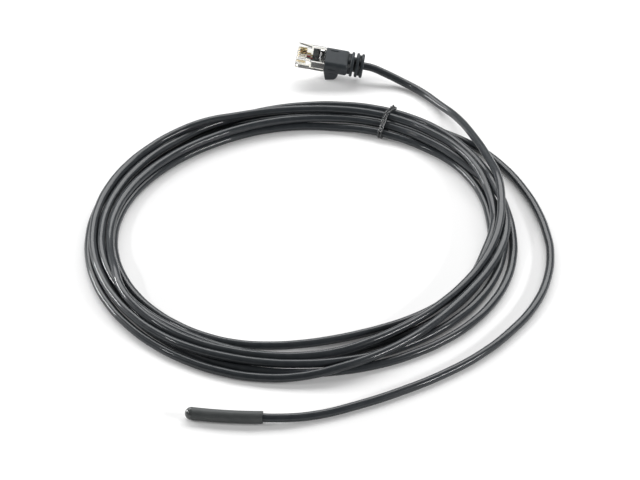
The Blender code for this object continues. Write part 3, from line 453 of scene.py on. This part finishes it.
bpy.ops.object.select_all(action="DESELECT")
bpy.ops.mesh.primitive_uv_sphere_add(
    segments=64, ring_count=32, radius=SLEEVE_RADIUS, location=(dome_middle, 0.0, SLEEVE_RADIUS),
    rotation=LAID_ALONG)
tip = apply_place()
tip.name = "resin_tip"
pick(tip, "VERT", lambda place: place.x > dome_middle + NEAR)
bpy.ops.mesh.delete(type="VERT")
pick(tip, "VERT", lambda place: place.x > dome_middle - NEAR)
middle = (tip_back, 0.0, SLEEVE_RADIUS)
extrude((TIP_SHOULDER, 0.0, 0.0))
extrude((0.0, 0.0, 0.0))
spigot_share = SPIGOT_RADIUS / SLEEVE_RADIUS
bpy.ops.transform.resize(value=(1.0, spigot_share, spigot_share), center_override=middle)
extrude((TIP_GAP + SPIGOT_LENGTH, 0.0, 0.0))
extrude((0.0, 0.0, 0.0))
hole_share = BEAD_HOLE_RADIUS / SPIGOT_RADIUS
bpy.ops.transform.resize(value=(1.0, hole_share, hole_share), center_override=middle)
extrude((BEAD_HOLE_END - tip_back - TIP_GAP - SPIGOT_LENGTH, 0.0, 0.0))
bpy.ops.mesh.edge_face_add()
bpy.ops.mesh.select_all(action="SELECT")
bpy.ops.mesh.normals_make_consistent(inside=False)
bpy.ops.object.mode_set(mode="OBJECT")
bevel_corners(tip, TIP_EDGE, 2)
smooth_faces(tip)

tip_resin = plain_material("tip_resin", (0.070, 0.074, 0.074), 0.20)
tip_noise = object_noise(tip_resin, 700.0)
vary_colour(tip_resin, tip_noise, (0.064, 0.068, 0.068), (0.078, 0.082, 0.082))
vary_roughness(tip_resin, tip_noise, 0.14, 0.24)
add_bump(tip_resin, object_noise(tip_resin, 420.0, 1.0), 0.12, 0.0002)
tip.data.materials.append(tip_resin)
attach(tip, "root")
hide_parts("probe_tip")


# Inside the probe: the glass-coated bead on its two tinned legs, each soldered to a cable core inside a
# shrunk tube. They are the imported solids, dressed in what they are made of.
def dress(material, *names):
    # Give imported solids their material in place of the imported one
    for name in names:
        mesh = nodes[name].data
        mesh.materials.clear()
        mesh.materials.append(material)


bead_glass = plain_material("bead_glass", (0.10, 0.12, 0.16), 0.12)
shader_of(bead_glass).inputs["Coat Weight"].default_value = 0.6
vary_colour(bead_glass, object_noise(bead_glass, 900.0), (0.08, 0.10, 0.14), (0.13, 0.15, 0.19))
dress(bead_glass, "thermistor_bead")

tinned_copper = plain_material("tinned_copper", (0.75, 0.73, 0.70), 0.32)
shader_of(tinned_copper).inputs["Metallic"].default_value = 1.0
vary_roughness(tinned_copper, object_noise(tinned_copper, 2500.0, 3.0, (0.1, 1.0, 1.0)), 0.25, 0.45)
dress(tinned_copper, "thermistor_leg_1", "thermistor_leg_2")

joint_tube = plain_material("joint_tube", (0.10, 0.10, 0.11), 0.5)
joint_noise = object_noise(joint_tube, 1200.0)
vary_roughness(joint_tube, joint_noise, 0.42, 0.60)
add_bump(joint_tube, joint_noise, 0.2, 0.0001)
dress(joint_tube, "joint_sleeve_1", "joint_sleeve_2")


def core_material(name, colour):
    # Smooth insulation on one core, a little uneven in tone
    material = plain_material(name, colour, 0.38)
    noise = object_noise(material, 800.0)
    vary_colour(material, noise, [0.88 * part for part in colour], [1.06 * part for part in colour])
    vary_roughness(material, noise, 0.32, 0.46)
    return material


core_red = core_material("core_red", (0.55, 0.06, 0.05))
core_black = core_material("core_black", (0.04, 0.04, 0.04))
dress(core_red, "probe_core_1")
dress(core_black, "probe_core_2")


# Plug housing: the clear eight-contact modular plug, one polycarbonate moulding with its latch, with the
# four cores of the cable under the gold-plated blades that are pressed down into its slots.
clear_plastic = plain_material("clear_plastic", (0.96, 0.955, 0.925), 0.02)
clear_shader = shader_of(clear_plastic)
clear_shader.inputs["Transmission Weight"].default_value = 1.0
clear_shader.inputs["IOR"].default_value = 1.58
clear_noise = object_noise(clear_plastic, 260.0)
vary_roughness(clear_plastic, clear_noise, 0.01, 0.035)
add_bump(clear_plastic, clear_noise, 0.02, 0.0002)
dress(clear_plastic, "plug_housing")

gold_plate = plain_material("gold_plate", (0.90, 0.74, 0.42), 0.24)
shader_of(gold_plate).inputs["Metallic"].default_value = 1.0
gold_noise = object_noise(gold_plate, 2200.0, 3.0, (0.25, 1.0, 1.0))
vary_colour(gold_plate, gold_noise, (0.86, 0.68, 0.36), (0.95, 0.80, 0.50))
vary_roughness(gold_plate, gold_noise, 0.18, 0.34)
dress(gold_plate, *["contact_%d" % number for number in range(1, 9)])
dress(core_black, "plug_core_1")
dress(core_red, "plug_core_2")
dress(core_material("core_white", (0.80, 0.79, 0.74)), "plug_core_3")
dress(core_material("core_yellow", (0.80, 0.62, 0.15)), "plug_core_4")


# Boot: black vinyl moulded over the plug's skirt and the cable in one shot. It fills the clear housing's
# hollow, humps down over the latch's tail, and ends in a ribbed tail with bridges from rib to rib.
BOOT_FRONT = 0.0150
BOOT_BODY_END = 0.0270
BOOT_WIDTH = 0.0124
BOOT_HEIGHT = 0.0076
BOOT_CORNER = 0.0020
BOOT_EDGE = 0.00022
BOOT_TAPER_LENGTH = 0.0009
BOOT_TAPER = 0.0004
HUMP_WIDTH = 0.0114
HUMP_FRONT = 0.0151
HUMP_END = 0.0229
HUMP_REAR_DEPTH = 0.0049
HUMP_REAR_LENGTH = 0.0028
HUMP_REAR_ROUND = 0.999 * HUMP_REAR_LENGTH
HUMP_LEAN = 0.0015
HUMP_DROP = 0.0011
HUMP_EDGE = 0.0005
NECK_RADIUS = 0.0034
NECK_ROOT = 0.0021
NECK_EDGE = 0.00015
RIB_RADIUS = 0.0064
RIB_THICKNESS = 0.0015
RIB_STEP = 0.000075
RIB_EDGE = 0.0005
RIB_PLACES = (0.0291, 0.0317, 0.0343)
BRIDGE_REACH = 0.0102
BRIDGE_TOP_WIDTH = 0.0020
BRIDGE_SIDE_WIDTH = 0.0050
BRIDGE_EDGE = 0.0003
JACKET_BORE_RADIUS = 0.00203
JACKET_BORE_START = 0.0219
JACKET_BORE_PAST = 0.0003
MARK_START = 0.0170
MARK_END = 0.0212
MARK_SIZE = 0.0006
TOP_MARK_ACROSS = 0.0035
MARK_EDGE = 0.0001

# The boot's filling and its hollows: start and end along the plug, width, bottom and top
POCKET = (0.0147, 0.0218, 0.0112, -0.0032, 0.0032)
FILLING = (0.0083, 0.0232, 0.0086, -0.0020, 0.0020)
BAR_NOTCH = (0.0111, 0.0142, 0.0076, 0.0008, 0.0025)
CORE_WAY = (0.0074, 0.0222, 0.00446, -0.0016, -0.0002)
LATCH_HOLLOW = (0.0136, 0.0194, 0.0044, -0.0089, -0.0041)
boot_bottom = -BOOT_HEIGHT / 2


def add_block(name, start, finish, width, bottom, top):
    # A cube made to reach from start to finish along the plug, and the same to both sides of its middle
    low = Vector((start, -width / 2, bottom))
    high = Vector((finish, width / 2, top))
    bpy.ops.object.select_all(action="DESELECT")
    bpy.ops.mesh.primitive_cube_add(size=1.0, location=(low + high) / 2, scale=high - low)
    block = apply_place()
    block.name = name
    return block


def add_round(name, radius, start, finish, sides=56):
    # A cylinder along the plug's length
    bpy.ops.object.select_all(action="DESELECT")
    bpy.ops.mesh.primitive_cylinder_add(
        vertices=sides, radius=radius, depth=finish - start, location=((start + finish) / 2, 0.0, 0.0),
        rotation=LAID_ALONG)
    cylinder = apply_place()
    cylinder.name = name
    return cylinder


def placed_copy(piece, place, size=1.0):
    # A copy with its own mesh, made smaller across the plug's length and moved to its place
    copied = piece.copy()
    copied.data = piece.data.copy()
    bpy.context.scene.collection.objects.link(copied)
    pick(copied, "VERT", lambda point: True)
    bpy.ops.transform.resize(value=(1.0, size, size), center_override=(0.0, 0.0, 0.0))
    bpy.ops.transform.translate(value=place)
    bpy.ops.object.mode_set(mode="OBJECT")
    return copied


def combine(piece, other, operation):
    # Join the other shape to the piece, or cut it out
    only(piece)
    step = piece.modifiers.new("combine", "BOOLEAN")
    step.operation = operation
    step.solver = "EXACT"
    step.object = other
    bpy.ops.object.modifier_apply(modifier=step.name)
    bpy.data.objects.remove(other, do_unlink=True)


body_end = BOOT_BODY_END - BOOT_TAPER_LENGTH
boot = add_block("ribbed_boot", BOOT_FRONT, body_end, BOOT_WIDTH, boot_bottom, -boot_bottom)
pick(boot, "EDGE", lambda start, finish: abs(start.x - finish.x) > NEAR)
bpy.ops.mesh.bevel(offset=BOOT_CORNER, segments=8, affect="EDGES")
bpy.ops.object.mode_set(mode="OBJECT")
pick(boot, "FACE", lambda centre, normal: normal.x > 0.9)
extrude((BOOT_TAPER_LENGTH, 0.0, 0.0))
bpy.ops.transform.resize(
    value=(1.0, 1.0 - 2 * BOOT_TAPER / BOOT_WIDTH, 1.0 - 2 * BOOT_TAPER / BOOT_HEIGHT),
    center_override=(BOOT_BODY_END, 0.0, 0.0))
bpy.ops.object.mode_set(mode="OBJECT")
bevel_corners(boot, BOOT_EDGE, 3, 18.0)

# Hump over the latch's tail: its rear is rounded as a quarter of an oval, and its front edge leans back
squash = HUMP_REAR_LENGTH / HUMP_REAR_DEPTH
hump_top = 0.5 * BOOT_CORNER * squash
hump = add_block("hump", HUMP_FRONT, HUMP_END, HUMP_WIDTH, -HUMP_REAR_LENGTH, hump_top)
pick(
    hump, "EDGE",
    lambda start, finish: min(start.x, finish.x) > HUMP_END - NEAR and max(start.z, finish.z) < 0)
bpy.ops.mesh.bevel(offset=HUMP_REAR_ROUND, segments=10, affect="EDGES")
bpy.ops.mesh.select_all(action="SELECT")
bpy.ops.transform.resize(value=(1.0, 1.0, 1.0 / squash), center_override=(0.0, 0.0, 0.0))
bpy.ops.transform.translate(value=(0.0, 0.0, boot_bottom))
bpy.ops.object.mode_set(mode="OBJECT")
pick(hump, "VERT", lambda place: place.x < HUMP_FRONT + NEAR and place.z < boot_bottom)
bpy.ops.transform.translate(value=(HUMP_LEAN, 0.0, -HUMP_DROP))
bpy.ops.object.mode_set(mode="OBJECT")
bevel_corners(hump, HUMP_EDGE, 4)
combine(boot, hump, "UNION")

# Tail: a neck, three ribs and the bridges between them, the middle one upright
neck = add_round("neck", NECK_RADIUS, BOOT_BODY_END - NECK_ROOT, BOOT_END)
bevel_corners(neck, NECK_EDGE, 2)
combine(boot, neck, "UNION")
rib = add_round("rib", RIB_RADIUS, -RIB_THICKNESS / 2, RIB_THICKNESS / 2)
bevel_corners(rib, RIB_EDGE, 5)
bridge_start = body_end
for number, place in enumerate(RIB_PLACES):
    smaller = 1.0 - number * RIB_STEP / RIB_RADIUS
    combine(boot, placed_copy(rib, (place, 0.0, 0.0), smaller), "UNION")
    across, upright = (BRIDGE_TOP_WIDTH, BRIDGE_REACH) if number == 1 else (BRIDGE_REACH, BRIDGE_SIDE_WIDTH)
    bridge = add_block("bridge", bridge_start, place, across, -upright / 2, upright / 2)
    pick(bridge, "EDGE", lambda start, finish: abs(start.x - finish.x) > NEAR)
    bpy.ops.mesh.bevel(offset=BRIDGE_EDGE, segments=3, affect="EDGES")
    bpy.ops.object.mode_set(mode="OBJECT")
    combine(boot, bridge, "UNION")
    bridge_start = place
bpy.data.objects.remove(rib, do_unlink=True)

# Pocket round the housing's skirt, the filling inside the housing, and the ways for its bar, the cores,
# the jacket and the latch's tail
combine(boot, add_block("pocket", *POCKET), "DIFFERENCE")
combine(boot, add_block("filling", *FILLING), "UNION")
combine(boot, add_block("bar_notch", *BAR_NOTCH), "DIFFERENCE")
combine(boot, add_block("core_way", *CORE_WAY), "DIFFERENCE")
bore = add_round("jacket_bore", JACKET_BORE_RADIUS, JACKET_BORE_START, BOOT_END + JACKET_BORE_PAST, 40)
combine(boot, bore, "DIFFERENCE")
combine(boot, add_block("latch_hollow", *LATCH_HOLLOW), "DIFFERENCE")

# Long shallow marks moulded into the top and both sides, each with its middle in the boot's surface
mark = add_block("mark", MARK_START, MARK_END, MARK_SIZE, -MARK_SIZE / 2, MARK_SIZE / 2)
bevel_corners(mark, MARK_EDGE, 2)
for across, height in ((TOP_MARK_ACROSS, -boot_bottom), (BOOT_WIDTH / 2, 0.0), (-BOOT_WIDTH / 2, 0.0)):
    combine(boot, placed_copy(mark, (0.0, across, height)), "DIFFERENCE")
bpy.data.objects.remove(mark, do_unlink=True)
smooth_faces(boot, 30.0)
boot.matrix_world = plug_lies
only(boot)
apply_place()

boot_vinyl = plain_material("boot_vinyl", (0.036, 0.042, 0.047), 0.42)
shader_of(boot_vinyl).inputs["Specular IOR Level"].default_value = 0.22
boot_noise = object_noise(boot_vinyl, 450.0, 4.0)
vary_colour(boot_vinyl, boot_noise, (0.032, 0.038, 0.043), (0.040, 0.046, 0.051))
vary_roughness(boot_vinyl, boot_noise, 0.36, 0.50)
add_bump(boot_vinyl, object_noise(boot_vinyl, 2600.0, 3.0), 0.12, 0.00005)
boot.data.materials.append(boot_vinyl)
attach(boot, "root")
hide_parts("boot")


# Wire tie: a thin steel wire in a glossy black cover, wound twice round the six turns at the back of the
# coil and twisted together outside them, so that it holds them in a bundle. Its ends are cut short.
TIE_PITCH = 0.0013
TIE_CLEARANCE = 0.00003
TIE_TAIL = 0.0006
TIE_TAIL_START = 0.6 * TIE_RADIUS
TIE_TAIL_SPREAD = 1.06 * TIE_RADIUS
TIE_TAIL_STEPS = 12
TIE_TWISTS = 0.25
TIE_RISE = math.radians(12)
KNOT_LEAN = 0.8
STRAND_SIDES = 32


def bundle_outline(angle, spare):
    # The tightest line round all the strands at that angle, standing off by the wire's radius
    dots = []
    for turn in range(len(TURNS) + 1):
        station = angle + 360 * turn
        if station > strand_angles[-1]:
            break
        across = np.interp(station, strand_angles, strand_radii)
        height = np.interp(station, strand_angles, strand_heights)
        for step in range(STRAND_SIDES):
            around = 2 * math.pi * step / STRAND_SIDES
            reach = CABLE_RADIUS + spare
            dots.append((across + reach * math.cos(around), height + reach * math.sin(around)))
    dots.sort()
    sides = []
    for row in (dots, dots[::-1]):
        line = []
        for dot in row:
            while len(line) > 1:
                (ax, ay), (bx, by) = line[-2:]
                if (bx - ax) * (dot[1] - ay) - (by - ay) * (dot[0] - ax) > 0:
                    break
                line.pop()
            line.append(dot)
        sides += line[:-1]
    return sides


# The knot lies at the outer upper side of the bundle
outline = bundle_outline(TIE_ANGLE, TIE_RADIUS + TIE_CLEARANCE)
knot = max(range(len(outline)), key=lambda index: outline[index][0] + KNOT_LEAN * outline[index][1])
loop = outline[knot:] + outline[:knot]
tie_turned = math.radians(TIE_ANGLE) + COIL_ZERO
tie_out = Vector((math.cos(tie_turned), math.sin(tie_turned), 0.0))
tie_along = Vector((-math.sin(tie_turned), math.cos(tie_turned), 0.0))


def tie_point(across, height, sideways):
    # A place by its distance from the coil's centre, its height and how far along the coil it lies
    return Vector((COIL_X, COIL_Y, height)) + tie_out * across + tie_along * sideways


wraps = []
for step in range(2 * len(loop) + 1):
    across, height = loop[step % len(loop)]
    wraps.append(tie_point(across, height, TIE_PITCH * (step / len(loop) - 1)))
tails = []
tail_out = (tie_out * math.cos(TIE_RISE) + Vector((0.0, 0.0, math.sin(TIE_RISE)))).normalized()
tail_up = tail_out.cross(tie_along)
knot_place = tie_point(*loop[0], 0.0)
for side in (-1, 1):
    tail = []
    for step in range(TIE_TAIL_STEPS + 1):
        done = step / TIE_TAIL_STEPS
        twist = 2 * math.pi * TIE_TWISTS * done
        offset = (tie_along * math.cos(twist) + tail_up * math.sin(twist)) * side * TIE_TAIL_SPREAD
        tail.append(knot_place + tail_out * (TIE_TAIL_START + TIE_TAIL * done) + offset)
    tails.append(tail)
tie_route = tails[0][::-1] + wraps + tails[1]

tie = lay_curve("wire_tie", tie_route, TIE_RADIUS, 4, 4)

tie_cover = plain_material("tie_cover", (0.040, 0.042, 0.044), 0.20)
tie_noise = object_noise(tie_cover, 1500.0)
vary_colour(tie_cover, tie_noise, (0.034, 0.036, 0.038), (0.050, 0.052, 0.054))
vary_roughness(tie_cover, tie_noise, 0.16, 0.28)
tie.data.materials.append(tie_cover)
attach(tie, "root")
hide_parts("twist_tie")


# Floor, lamps and world, which are no part of the sensor: a white table under one wide soft lamp behind,
# with three small lamps at the sides that draw thin lights along the cable. Where the table is seen, in a
# reflection or through the clear plug too, it is lifted a little towards white.
FLOOR_SIZE = 8.0
FLOOR_DROP = 0.00002
FLOOR_LIFT = 0.10

floor_material = plain_material("white_floor", (0.80, 0.80, 0.80), 0.9)
floor_shader = shader_of(floor_material)
floor_shader.inputs["Specular IOR Level"].default_value = 0.0
floor_tree = floor_material.node_tree
seen_by = floor_tree.nodes.new("ShaderNodeLightPath")
either = floor_tree.nodes.new("ShaderNodeMath")
either.operation = "MAXIMUM"
any_of_them = floor_tree.nodes.new("ShaderNodeMath")
any_of_them.operation = "MAXIMUM"
floor_tree.links.new(seen_by.outputs["Is Camera Ray"], either.inputs[0])
floor_tree.links.new(seen_by.outputs["Is Glossy Ray"], either.inputs[1])
floor_tree.links.new(either.outputs[0], any_of_them.inputs[0])
floor_tree.links.new(seen_by.outputs["Is Transmission Ray"], any_of_them.inputs[1])
lift = floor_tree.nodes.new("ShaderNodeMath")
lift.operation = "MULTIPLY"
lift.inputs[1].default_value = FLOOR_LIFT
floor_tree.links.new(any_of_them.outputs[0], lift.inputs[0])
floor_shader.inputs["Emission Color"].default_value = (1.0, 1.0, 1.0, 1.0)
floor_tree.links.new(lift.outputs[0], floor_shader.inputs["Emission Strength"])
bpy.ops.object.select_all(action="DESELECT")
bpy.ops.mesh.primitive_plane_add(size=FLOOR_SIZE, location=(0.0, 0.0, -FLOOR_DROP))
floor = apply_place()
floor.name = "floor"
floor.data.materials.append(floor_material)


def soft_lamp(name, place, aim, width, height, power):
    # A plain rectangle of light, turned to what it is aimed at
    lamp_data = bpy.data.lights.new(name, "AREA")
    lamp_data.shape = "RECTANGLE"
    lamp_data.size = width
    lamp_data.size_y = height
    lamp_data.energy = power
    lamp = bpy.data.objects.new(name, lamp_data)
    bpy.context.scene.collection.objects.link(lamp)
    lamp.location = place
    lamp.rotation_euler = (Vector(aim) - Vector(place)).to_track_quat("-Z", "Y").to_euler()


soft_lamp("left_lamp", (-1.0, 0.45, 0.30), (0.02, 0.20, 0.0), 0.5, 0.08, 8.5)
soft_lamp("right_lamp", (1.0, -0.20, 0.42), (0.02, 0.10, 0.0), 0.45, 0.08, 7.0)
soft_lamp("front_lamp", (-0.94, -0.22, 0.80), (0.02, 0.10, 0.0), 0.20, 0.07, 2.6)
soft_lamp("back_lamp", (0.05, 1.24, 1.20), (0.02, 0.13, 0.0), 3.0, 0.8, 41.0)

world = bpy.data.worlds.new("pale_room")
bpy.context.scene.world = world
world.use_nodes = True
background = world.node_tree.nodes["Background"]
background.inputs["Color"].default_value = (1.0, 1.0, 1.0, 1.0)
background.inputs["Strength"].default_value = 0.12
bpy.context.scene.view_settings.view_transform = "Standard"


# Parts the cable carries, gathered in a list: the plug's housing, blades and cores, the boot and the tie
carried = ["plug_housing"] + ["contact_%d" % number for number in range(1, 9)]
carried += ["plug_core_%d" % number for number in range(1, 5)] + [boot.name, tie.name]
